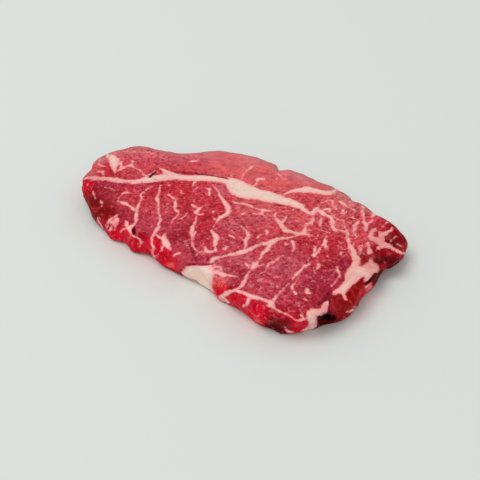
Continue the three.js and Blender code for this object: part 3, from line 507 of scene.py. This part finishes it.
def fine_rim():
    """The closed rim curve through the stations, finely sampled (centripetal Catmull-Rom)."""
    count = len(RIM)
    t = (np.arange(RIM_SAMPLES) / RIM_SAMPLES)[:, None]
    spans = []
    for i in range(count):
        p0, p1, p2, p3 = (RIM[(i + k) % count] for k in (-1, 0, 1, 2))
        d0, d1, d2 = (math.sqrt(np.linalg.norm(b - a)) for a, b in ((p0, p1), (p1, p2), (p2, p3)))
        m1 = ((p1 - p0) / d0 - (p2 - p0) / (d0 + d1) + (p2 - p1) / d1) * d1
        m2 = ((p2 - p1) / d1 - (p3 - p1) / (d1 + d2) + (p3 - p2) / d2) * d1
        cubic = 2 * p1 - 2 * p2 + m1 + m2
        square = 3 * p2 - 3 * p1 - 2 * m1 - m2
        spans.append(p1 + m1 * t + square * t ** 2 + cubic * t ** 3)
    return np.vstack(spans)


def spokes():
    """Each spoke's start on the spine, its rim point and the way the rim faces there."""
    curve = fine_rim()
    closed = np.vstack([curve, curve[:1]])
    weight = 1 + BUSY_GAIN * smooth_step(BUSY_FROM, BUSY_TO, curve[:, 0])
    lengths = np.concatenate([[0], np.cumsum(weight * np.linalg.norm(np.diff(closed, axis=0), axis=1))])
    whole = lengths[-1]

    def at(length):
        length = length % whole
        return np.stack([np.interp(length, lengths, closed[:, k]) for k in (0, 1)], 1)

    index = np.arange(SPOKES)
    length = index / SPOKES * whole
    along = at(length + NORMAL_REACH) - at(length - NORMAL_REACH)
    along /= np.linalg.norm(along, axis=1)[:, None]
    out = np.stack([along[:, 1], -along[:, 0]], 1)
    share = np.minimum(index, SPOKES - index) / (SPOKES / 2)
    return lerp(SPINE_RIGHT, SPINE_LEFT, share[:, None]), at(length), out


def route_distance(points, route):
    nearest = np.full(len(points), np.inf)
    route = np.array(route, float)
    for a, b in zip(route[:-1], route[1:]):
        t = np.clip((points - a) @ (b - a) / ((b - a) @ (b - a)), 0, 1)
        nearest = np.minimum(nearest, np.linalg.norm(points - a - t[:, None] * (b - a), axis=1))
    return nearest


def top_height(points):
    z = np.full(len(points), THICKNESS)
    for x, y, half_long, half_wide, turn, up in SWELLS:
        c, s = math.cos(math.radians(turn)), math.sin(math.radians(turn))
        dx, dy = points[:, 0] - x, points[:, 1] - y
        z += up * np.exp(-(((c * dx + s * dy) / half_long) ** 2 + ((c * dy - s * dx) / half_wide) ** 2))
    for half, deep, route in GROOVES:
        z -= deep * np.exp(-(route_distance(points, route) / half) ** 2)
    return z


def rim_bell(rim, x, y, size):
    return np.exp(-((rim[:, 0] - x) ** 2 + (rim[:, 1] - y) ** 2) / size ** 2)


def wall_out(rim, z):
    """How far the wall stands out from the rim curve at height z."""
    out = np.zeros(len(rim))
    for x, y, z0, along, tall, outward in WALL_FORMS:
        out += outward * rim_bell(rim, x, y, along) * np.exp(-((z - z0) / tall) ** 2)
    middle = np.sin(np.pi * np.clip(z / THICKNESS, 0, 1))
    return out + WAVE_OUT * middle * np.sin(WAVE_ALONG * (rim[:, 0] - rim[:, 1]) + WAVE_UP * z)


def form_rows():
    """Rows of points from the spine over the edge to the spine again, each with its region's name,
    its place in that region from 0 to 1, and the way its skin faces."""
    start, rim, out = spokes()
    reach = np.full(SPOKES, EDGE_REACH)
    drop = np.full(SPOKES, EDGE_DROP)
    for x, y, along, more_reach, more_drop in SOFT_EDGES:
        share = rim_bell(rim, x, y, along)
        reach += more_reach * share
        drop += more_drop * share
    lip = rim - out * reach[:, None]
    lip_height = top_height(lip)
    up = np.tile([0.0, 0.0, 1.0], (SPOKES, 1))
    sideways = np.c_[out, np.zeros(SPOKES)]
    rows = []

    def put(region, share, offset, z, facing):
        rows.append((region, share, np.c_[rim + out * offset[:, None], z], facing))

    for ring in range(RINGS["top"] + 1):
        share = ring / RINGS["top"]
        p = lerp(start, lip, share)
        rows.append(("top", share, np.c_[p, top_height(p)], up))
    for ring in range(1, RINGS["edge"] + 1):
        share = ring / RINGS["edge"]
        angle = share * math.pi / 2
        z = lip_height - drop * (1 - math.cos(angle))
        facing = up * math.cos(angle) + sideways * math.sin(angle)
        put("edge", share, wall_out(rim, z) * share - reach * (1 - math.sin(angle)), z, facing)
    for ring in range(1, RINGS["wall"] + 1):
        share = ring / RINGS["wall"]
        z = lerp(lip_height - drop, FOOT_RISE, share)
        put("wall", share, wall_out(rim, z), z, sideways)
    for ring in range(1, RINGS["foot"] + 1):
        share = ring / RINGS["foot"]
        angle = share * math.pi / 2
        z = np.full(SPOKES, FOOT_RISE * (1 - math.sin(angle)))
        facing = sideways * math.cos(angle) - up * math.sin(angle)
        put("foot", share, wall_out(rim, z) - FOOT_REACH * (1 - math.cos(angle)), z, facing)
    foot = rows[-1][2][:, :2]
    for ring in range(1, RINGS["base"] + 1):
        share = ring / RINGS["base"]
        rows.append(("base", share, np.c_[lerp(foot, start, share), np.zeros(SPOKES)], -up))
    return rows


# ---- fields over the skin ----

HIDDEN_DRIFT = np.array([0.22, 0.12])             # a seam's drift for each millimetre down, out of sight
WARP, WARP_SIZE, WARP_SEEDS = 0.5, 4.5, (21, 22)  # how far routes wander, in waves of about this size
FAR = 6.0                                         # distances to fat are kept up to this
SEAM_BLEND = 0.7                                  # how softly two seams run together
CREASE_EDGE = (0.55, -0.35)                       # a crease's painted shade sets in between these distances from its edge
SEEN_TURN = (-0.15, 0.2)                          # a wall comes into the photograph's sight between these


def towards_camera(facing):
    """How far the skin's facing, seen from above, turns to the photograph's side."""
    side = np.array([*BACK[:2], 0.0])
    return facing @ (side / np.linalg.norm(side))


def sight_place(points):
    """Where the line of sight to a point meets the plane of the cut face."""
    t = (THICKNESS - points[:, 2]) / (EYE[2] - points[:, 2])
    return points[:, :2] + (EYE[:2] - points[:, :2]) * t[:, None]


def reading_places(rows):
    """The place on the cut face's plane that each point of the skin takes its seams and tones from."""
    places = []
    for region, share, points, facing in rows:
        seen = sight_place(points)
        drift = (THICKNESS - points[:, 2])[:, None] * HIDDEN_DRIFT
        own = points[:, :2] + drift
        if region in ("top", "base"):
            visible = np.full(SPOKES, float(region == "top"))
        else:
            level = np.linalg.norm(facing[:, :2], axis=1)
            visible = smooth_step(*SEEN_TURN, towards_camera(facing) + 1 - level)
        if region == "foot":
            visible = visible * (1 - share)
        places.append(lerp(own, seen, visible[:, None]))
    return np.vstack(places)


def rounded(route, parts=3):
    """A route with its corners taken off, as (x, y, width)."""
    route = np.array(route, float)
    if len(route) < 3:
        return route
    padded = np.vstack([2 * route[0] - route[1], route, 2 * route[-1] - route[-2]])
    points = []
    for p0, p1, p2, p3 in zip(padded[:-3], padded[1:-2], padded[2:-1], padded[3:]):
        for t in np.arange(parts) / parts:
            points.append(0.5 * (2 * p1 + (p2 - p0) * t + (2 * p0 - 5 * p1 + 4 * p2 - p3) * t ** 2
                                 + (3 * p1 - p0 - 3 * p2 + p3) * t ** 3))
    return np.vstack([points, route[-1:]])


def route_depth(places, route):
    """Distance to the edge of a route of uneven width, negative inside it."""
    depth = np.full(len(places), FAR)
    route = rounded(route)
    margin = FAR + route[:, 2].max() / 2
    near = np.all((places > route[:, :2].min(0) - margin) & (places < route[:, :2].max(0) + margin), 1)
    near = np.flatnonzero(near)
    p = places[near]
    best = depth[near]
    for a, b in zip(route[:-1], route[1:]):
        step = b[:2] - a[:2]
        t = np.clip((p - a[:2]) @ step / (step @ step), 0, 1)
        gap = np.hypot(p[:, 0] - a[0] - t * step[0], p[:, 1] - a[1] - t * step[1])
        best = np.minimum(best, gap - lerp(a[2], b[2], t) / 2)
    depth[near] = best
    return depth


def patch_depth(places, outline):
    """Distance to a closed outline, negative inside it."""
    ring = np.array(outline + outline[:1], float)
    gap = np.full(len(places), np.inf)
    inside = np.zeros(len(places), bool)
    for a, b in zip(ring[:-1], ring[1:]):
        step = b - a
        t = np.clip((places - a) @ step / (step @ step), 0, 1)
        gap = np.minimum(gap, np.hypot(*(places - a - t[:, None] * step).T))
        if a[1] != b[1]:
            crosses = (places[:, 1] < a[1]) != (places[:, 1] < b[1])
            x = a[0] + (places[:, 1] - a[1]) * step[0] / step[1]
            inside ^= crosses & (places[:, 0] < x)
    return np.minimum(np.where(inside, -gap, gap), FAR)


def blended_min(a, b, size):
    h = np.clip(0.5 + 0.5 * (b - a) / size, 0, 1)
    return lerp(b, a, h) - size * h * (1 - h)


def fat_field(places):
    depth = np.full(len(places), FAR)
    for route in SEAMS.values():
        depth = blended_min(depth, route_depth(places, route), SEAM_BLEND)
    for outline in PATCHES.values():
        depth = blended_min(depth, patch_depth(places, outline), SEAM_BLEND)
    return depth


def crease_field(places):
    dark = np.zeros(len(places))
    for strength, route in CREASES.values():
        dark = np.maximum(dark, strength * smooth_step(*CREASE_EDGE, route_depth(places, route)))
    return dark


def blend_places(places, entries):
    """Values spread from their places, each by its own reach: entries are (value, x, y, reach)."""
    total = np.zeros((len(places), np.size(entries[0][0])))
    weight = np.full((len(places), 1), 1e-12)
    for value, x, y, reach in entries:
        gap = (places[:, 0] - x) ** 2 + (places[:, 1] - y) ** 2
        share = (MEAT_REACH / reach) ** 2 * np.exp(-gap / reach ** 2)
        share = (share + BACKGROUND_WEIGHT / (1 + gap))[:, None]
        total += share * np.asarray(value, float)
        weight += share
    return total / weight


def tone_field(places):
    entries = [(albedo(TONES[tone]) / GRAIN_SHARE, *place) for tone, spots in MEAT for place in spots]
    return blend_places(places, entries)


def spot_field(places, spots):
    field = np.zeros(len(places))
    for value, x, y, reach in spots:
        gap = (places[:, 0] - x) ** 2 + (places[:, 1] - y) ** 2
        field = np.maximum(field, value * np.exp(-gap / reach ** 2))
    return field


# ---- relief ----

MEAT_WAVES = [(9.0, 0.28), (4.0, 0.20), (1.9, 0.11)]  # size and height of the meat's unevenness
WALL_WAVES = [(7.0, 0.50), (3.2, 0.32), (1.7, 0.12)]
WALL_FLATTEN = np.array([1.0, 1.0, 1.6])  # on the walls they lie flatter
FAT_SMOOTH, FAT_EDGE = 0.35, (-0.5, 0.4)  # what is left of them on fat
FAT_RISE, FAT_RISE_DEPTH = 0.11, 3.0      # wide fat stands a little proud
EDGE_CUT, EDGE_CUT_WIDTH = 0.20, 0.55     # and is set off by a fine cut
CREASE_DEPTH = 0.8
CREASE_CLEARS = 3.0  # no fat lies in a crease


def relief(points, wall, fat, crease):
    """How far the skin stands off its plain form, in millimetres."""
    meat = smooth_step(*FAT_EDGE, fat)
    height = np.zeros(len(points))
    for seed, (top_wave, wall_wave) in enumerate(zip(MEAT_WAVES, WALL_WAVES)):
        on_top = wavy(points, top_wave[0], seed) * top_wave[1]
        on_wall = wavy(points * WALL_FLATTEN, wall_wave[0], seed + 5) * wall_wave[1]
        height += lerp(on_top, on_wall, wall)
    height *= lerp(FAT_SMOOTH, 1.0, meat)
    height += FAT_RISE * np.clip(-fat, 0, FAT_RISE_DEPTH)
    height -= EDGE_CUT * np.exp(-(fat / EDGE_CUT_WIDTH) ** 2)
    return height - CREASE_DEPTH * crease


# ---- the mesh ----

RIM_SHEEN_END = (66, 56)       # the painted rim sheen sets in between these, along x
RIM_SHEEN_TURN = (0.0, -0.45)  # and where the wall turns from the camera by this much
WALL_TURN = (-0.3, 0.2)     # a wall's colour is brightened with painted light as it turns to the camera between these


def row_field(rows, share_of):
    """A value for each point of the skin, from its row's region and its place in that region."""
    return np.concatenate([np.full(SPOKES, share_of(*row[:2])) for row in rows])


def wall_share(region, share):
    return {"edge": share, "wall": 1.0, "foot": 1 - share}.get(region, 0.0)


def relief_share(region, share):
    """Relief fades out round the foot, so that the underside is flat."""
    return {"foot": 1 - share, "base": 0.0}.get(region, 1.0)


def rim_share(region, share):
    """How much of the painted rim sheen a row takes: all of the rounded edge, fading to both sides of it.
    """
    if region == "edge":
        return 1.0
    if region == "top":
        return max(0.0, 1 - 15 * (1 - share))
    return max(0.0, 1 - 5 * share) if region == "wall" else 0.0


def rim_sheen_field(rows):
    """Painted sheen on the far rim, where its rounded edge catches the sky, along the spokes whose wall
    turns away from the camera's side.
    """
    wall = next(row for row in rows if row[0] == "wall")
    away = smooth_step(*RIM_SHEEN_TURN, towards_camera(wall[3])) * smooth_step(*RIM_SHEEN_END, wall[2][:, 0])
    return row_field(rows, rim_share) * np.tile(away, len(rows))


def grid(rings):
    """The points that the faces use, and the faces. The first and last rings fold up along the spine,
    where each spoke meets its mirror image."""
    spoke = np.arange(SPOKES)
    mirror = np.minimum(spoke, (SPOKES - spoke) % SPOKES)
    number = np.arange(rings * SPOKES).reshape(rings, SPOKES)
    for ring in (0, -1):
        number[ring] = number[ring][mirror]
    used, number = np.unique(number, return_inverse=True)
    number = number.reshape(rings, SPOKES)
    right = np.roll(number, -1, 1)
    return used, np.stack([number[:-1], number[1:], right[1:], right[:-1]], -1).reshape(-1, 4)


def add_object(name, data):
    thing = bpy.data.objects.new(name, data)
    bpy.context.scene.collection.objects.link(thing)
    return thing


def make_steak():
    rows = form_rows()
    points = np.vstack([row[2] for row in rows])
    facing = np.vstack([row[3] for row in rows])
    on_base = slice(-RINGS["base"] * SPOKES, None)
    wall = row_field(rows, wall_share)
    warp = [wavy(points, WARP_SIZE, seed) for seed in WARP_SEEDS]
    places = reading_places(rows) + np.stack(warp, 1) * WARP

    crease = crease_field(places)
    fat = fat_field(places) + CREASE_CLEARS * crease
    crease[on_base] = 0
    height = relief(points, wall, fat, crease) * row_field(rows, relief_share)
    points = points + facing * height[:, None]
    points[on_base, 2] = 0.0

    used, faces = grid(len(rows))
    mesh = bpy.data.meshes.new("steak_skin")
    mesh.from_pydata(((points[used] - [*CENTRE, 0]) * MM).tolist(), [], faces.tolist())
    mesh.polygons.foreach_set("use_smooth", np.ones(len(faces), bool))
    fields = {name: spot_field(places, spots) for name, spots in SPOTS.items()}
    fields |= {
        "fat": fat,
        "crease": crease,
        "rim_sheen_share": rim_sheen_field(rows),
        # painted light: how far a wall's colour is brightened as it turns to the camera
        "wall": wall * smooth_step(*WALL_TURN, towards_camera(facing)),
    }
    for name, field in fields.items():
        layer = mesh.attributes.new(name, "FLOAT", "POINT")
        layer.data.foreach_set("value", field[used].astype(np.float32))
    layer = mesh.attributes.new("tone", "FLOAT_COLOR", "POINT")
    colours = np.c_[tone_field(places)[used], np.ones(len(used))]
    layer.data.foreach_set("color", colours.astype(np.float32).ravel())
    mesh.update()
    return add_object("steak_meat", mesh)


# ---- materials ----

class Graph:
    """Builds a material's nodes: each call adds one node or a few, and returns the last one's output."""

    def __init__(self, name):
        self.material = bpy.data.materials.new(name)
        self.material.use_nodes = True
        self.tree = self.material.node_tree
        self.tree.nodes.clear()

    def add(self, kind, inputs, output=0, **settings):
        node = self.tree.nodes.new(kind)
        for key, value in settings.items():
            setattr(node, key, value)
        for key, value in inputs.items():
            socket = node.inputs[key]
            if isinstance(value, bpy.types.NodeSocket):
                self.tree.links.new(value, socket)
            elif socket.type == "RGBA":
                socket.default_value = (*value, 1.0)
            else:
                socket.default_value = value
        return node.outputs[output]

    def attribute(self, name, output="Fac"):
        return self.add("ShaderNodeAttribute", {}, output, attribute_name=name)

    def math(self, operation, a, b):
        return self.add("ShaderNodeMath", {0: a, 1: b}, operation=operation)

    def plus(self, first, *others):
        for other in others:
            first = self.math("ADD", first, other)
        return first

    def minus(self, a, b):
        return self.math("SUBTRACT", a, b)

    def times(self, a, b):
        return self.math("MULTIPLY", a, b)

    def scaled(self, vector, scale):
        return self.add("ShaderNodeVectorMath", {0: vector, "Scale": scale}, operation="SCALE")

    def spread(self, value, size):
        """A noise about its middle, size wide."""
        return self.times(self.minus(value, 0.5), size)

    def blend(self, share, a, b):
        return self.add("ShaderNodeMix", {0: share, 2: a, 3: b}, data_type="FLOAT")

    def mix(self, share, a, b, blend="MIX", clamp=False):
        return self.add("ShaderNodeMix", {0: share, 6: a, 7: b}, 2, data_type="RGBA", blend_type=blend,
                        clamp_result=clamp)

    def lit(self, colour, light, clamp=False):
        """A colour times a light that may pass 1."""
        light = self.add("ShaderNodeCombineXYZ", {0: light, 1: light, 2: light})
        return self.mix(1.0, colour, light, "MULTIPLY", clamp)

    def noise(self, place, scale, detail=2.0, roughness=0.5, distortion=0.0, output="Fac"):
        inputs = {"Vector": place, "Scale": scale, "Detail": detail, "Roughness": roughness,
                  "Distortion": distortion}
        return self.add("ShaderNodeTexNoise", inputs, output)

    def cell_edge(self, place, scale):
        """Distance to the nearest border between cells."""
        inputs = {"Vector": place, "Scale": scale}
        return self.add("ShaderNodeTexVoronoi", inputs, "Distance", feature="DISTANCE_TO_EDGE")

    def drawn_out(self, place, turn, stretch):
        inputs = {"Vector": place, "Rotation": turn, "Scale": stretch}
        return self.add("ShaderNodeMapping", inputs, vector_type="TEXTURE")

    def ramp(self, value, low, high, to_low=0.0, to_high=1.0):
        inputs = {"Value": value, "From Min": low, "From Max": high, "To Min": to_low, "To Max": to_high}
        return self.add("ShaderNodeMapRange", inputs, interpolation_type="SMOOTHSTEP")

    def finish(self, **inputs):
        """Adds the shader, its inputs named with _ for a space, and returns the material."""
        inputs = {name.replace("_", " "): value for name, value in inputs.items()}
        shader = self.add("ShaderNodeBsdfPrincipled", inputs)
        end = self.tree.nodes.new("ShaderNodeOutputMaterial")
        self.tree.links.new(shader, end.inputs["Surface"])
        return self.material


CAP_TURN = (0.0, 0.0, math.radians(16))  # the cap muscle's fibres lie along the slice
CAP_STRETCH = (4.0, 1.0, 1.0)
NO_TURN = (0.0, 0.0, 0.0)
WALL_STRETCH = (1.0, 1.0, 2.6)           # on the walls they hang


def fat_skin(g, place, depth, ragged):
    """Pink threads and edges, cream in the widest seams, streaked there, and stained by blood."""
    fat = g.mix(g.ramp(depth, 0.0, -1.1), albedo(FAT_THIN), albedo(FAT_PALE))
    fat = g.mix(g.ramp(depth, -1.2, -2.8), fat, albedo(FAT_CREAM))
    streak = g.ramp(g.noise(place, 0.5), 0.45, 0.7)
    streak = g.times(streak, g.ramp(depth, -1.0, -2.4, 0.0, 0.45))
    fat = g.mix(streak, fat, albedo(FAT_SHADE))
    stain = g.times(g.attribute("rosy"), g.ramp(ragged, 0.3, 0.7, 0.7, 1.3))
    return g.mix(stain, fat, albedo(FAT_ROSE))


def fibre_grain(g, place, bundle, wet, cap):
    """Bundles of fibre from above, drawn out along the cap muscle and hanging on the wet walls."""
    grain = g.plus(g.noise(place, 0.5, 3.0, 0.7, 0.4), g.spread(bundle, 0.12))
    along = g.drawn_out(place, CAP_TURN, CAP_STRETCH)
    grain = g.blend(cap, grain, g.noise(along, 0.6, 3.0, 0.65, 0.2))
    hanging = g.drawn_out(place, NO_TURN, WALL_STRETCH)
    return g.blend(wet, grain, g.noise(hanging, 0.40, 3.0, 0.6, 0.6))


def meat_skin(g, place, grain, clump, wet, cap):
    """The tone, broadly mottled, with dark red between the fibres and pale painted highlights on them."""
    broad = g.noise(place, 0.14)
    meat = g.lit(g.attribute("tone", "Color"), g.ramp(broad, 0.3, 0.7, 0.90, 1.12))
    coarse = g.minus(0.9, g.times(cap, 0.5))
    coarse = g.times(coarse, g.ramp(clump, 0.65, 0.35, 0.7, 1.0))
    meat = g.mix(g.times(g.ramp(grain, 0.50, 0.30), coarse), meat, albedo(GRAIN_RED))
    # painted highlights: pale specks on the fibres, pinker on the wet walls
    pale = g.times(g.ramp(grain, 0.51, 0.70), g.times(coarse, 0.62))
    return g.mix(pale, meat, g.mix(wet, albedo(FLECK_AND_GLINT_PINK), albedo(WALL_GLINT_PINK)))


def fleck_share(g, place, bent, grain, clump, wet):
    """Fine marbling: specks and short threads, denser where the field says."""
    dense = g.times(g.attribute("fleck"), g.minus(1.0, g.times(wet, 0.8)))
    level = g.minus(0.66, g.times(dense, 0.11))
    level = g.minus(level, g.spread(clump, 0.16))
    specks = g.ramp(g.minus(grain, level), 0.0, 0.13, 0.0, 0.8)
    broken = g.ramp(g.noise(place, 0.3), 0.50, 0.60)
    threads = g.times(g.ramp(g.cell_edge(bent, 0.20), 0.11, 0.03), g.times(broken, dense))
    return g.math("MAXIMUM", specks, threads)


def meat_material():
    g = Graph("raw_meat")
    place = g.scaled(g.add("ShaderNodeTexCoord", {}, "Object"), 1 / MM)
    ragged = g.noise(place, 0.42, 3.0, 0.6)
    fine = g.noise(place, 1.5, 2.0, 0.6)
    clump = g.noise(place, 0.20, distortion=0.5)
    bend = g.scaled(g.noise(place, 0.5, output="Color"), 2.4)
    bent = g.add("ShaderNodeVectorMath", {0: place, 1: bend}, operation="ADD")
    bundle = g.cell_edge(bent, 0.42)
    wet = g.attribute("wet")
    cap = g.attribute("cap")
    crease = g.attribute("crease")

    # the fat's edge is ragged, and its threads thin out here and there
    uneven = g.spread(g.noise(place, 0.16, 1.0), 2.0)
    depth = g.plus(g.attribute("fat"), g.spread(ragged, 2.4), g.spread(fine, 1.2), uneven)
    fat = g.ramp(depth, 0.55, -0.42)
    grain = fibre_grain(g, place, bundle, wet, cap)
    flecks = fleck_share(g, place, bent, grain, clump, wet)
    skin = g.mix(flecks, meat_skin(g, place, grain, clump, wet, cap), albedo(FLECK_AND_GLINT_PINK))
    skin = g.mix(fat, skin, fat_skin(g, place, depth, ragged))
    # painted sheen: the far rim greyed where its rounded edge catches the sky
    sheen_on_rim = g.times(g.attribute("rim_sheen_share"), g.ramp(ragged, 0.40, 0.58, 0.1, 0.9))
    skin = g.mix(sheen_on_rim, skin, albedo(RIM_SHEEN_GREY))
    # painted shade: creases, slits and the gaps under the feet darkened
    skin = g.mix(g.times(crease, 0.96), skin, linear(CREASE_SHADE_RED))
    # painted light: walls that turn to the camera are brightened, up to 1 / WALL_LIGHT
    skin = g.lit(skin, g.ramp(g.attribute("wall"), 0.0, 1.0, 1.0, 1.0 / WALL_LIGHT), clamp=True)
    # painted shade in the hollows that the light hardly reaches
    dim = g.ramp(g.attribute("deep"), 0.1, 0.9)
    skin = g.mix(g.times(dim, 0.97), skin, linear(HOLLOW_SHADE_RED))

    # wet meat glints, but not in a crease or a hollow
    glint = g.times(wet, g.ramp(fine, 0.52, 0.68, 0.0, 0.14))
    gloss = g.times(g.plus(0.02, glint), g.minus(1.0, g.math("MAXIMUM", dim, crease)))
    rough = g.plus(g.ramp(wet, 0.2, 1.0, 0.46, 0.28), g.spread(fine, 0.18), g.times(fat, 0.06))
    bumps = g.plus(g.times(fine, 0.16), g.times(flecks, 0.05), g.times(bundle, 0.10), g.times(fat, 0.10))
    normal = g.add("ShaderNodeBump", {"Height": bumps, "Distance": MM, "Strength": 0.8})
    return g.finish(Base_Color=skin, Roughness=rough, Normal=normal, Specular_IOR_Level=gloss,
                    Subsurface_Weight=0.10, Subsurface_Radius=(1.0, 0.35, 0.25), Subsurface_Scale=0.0025)


def floor_material():
    g = Graph("pale_floor")
    return g.finish(Base_Color=linear(FLOOR_LOOK) / LIGHT, Roughness=0.8, Specular_IOR_Level=0.0)


# ---- stage ----

FLOOR_HALF, FLOOR_LEVEL = 3.0, -0.0003  # metres: it clears the underside by a hair


def to_frame(point):
    """A place in the slice's millimetres as metres in the frame."""
    return Vector((np.array(point, float) - np.array([*CENTRE, 0])) * MM)


def aim_at(thing, place, target):
    thing.location = place
    thing.rotation_euler = (target - place).to_track_quat("-Z", "Y").to_euler()


def make_camera():
    data = bpy.data.cameras.new("camera")
    data.lens = LENS
    data.sensor_width = SENSOR
    camera = add_object("camera", data)
    aim_at(camera, to_frame(EYE), to_frame(AIM))
    bpy.context.scene.camera = camera


def make_light(name, place, size, power):
    data = bpy.data.lights.new(name, "AREA")
    data.shape = "DISK"
    data.size = size
    data.energy = power
    aim_at(add_object(name, data), place, Vector((0, 0, 0)))


def make_floor():
    mesh = bpy.data.meshes.new("floor")
    h = FLOOR_HALF
    corners = [(-h, -h), (h, -h), (h, h), (-h, h)]
    mesh.from_pydata([(*corner, FLOOR_LEVEL) for corner in corners], [], [(0, 1, 2, 3)])
    mesh.materials.append(floor_material())
    floor = add_object("floor", mesh)


def make_stage():
    make_floor()
    make_light("key", Vector(KEY_FROM) * KEY_DISTANCE, KEY_SIZE, KEY_POWER)
    world = bpy.data.worlds.new("studio")
    world.use_nodes = True
    background = world.node_tree.nodes["Background"]
    background.inputs["Color"].default_value = (1.0, 1.0, 1.0, 1.0)
    background.inputs["Strength"].default_value = WORLD_STRENGTH
    bpy.context.scene.world = world
    bpy.context.scene.view_settings.view_transform = "Standard"


make_camera()
make_stage()
steak = make_steak()
steak.data.materials.append(meat_material())
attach(steak, "root")
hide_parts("steak")
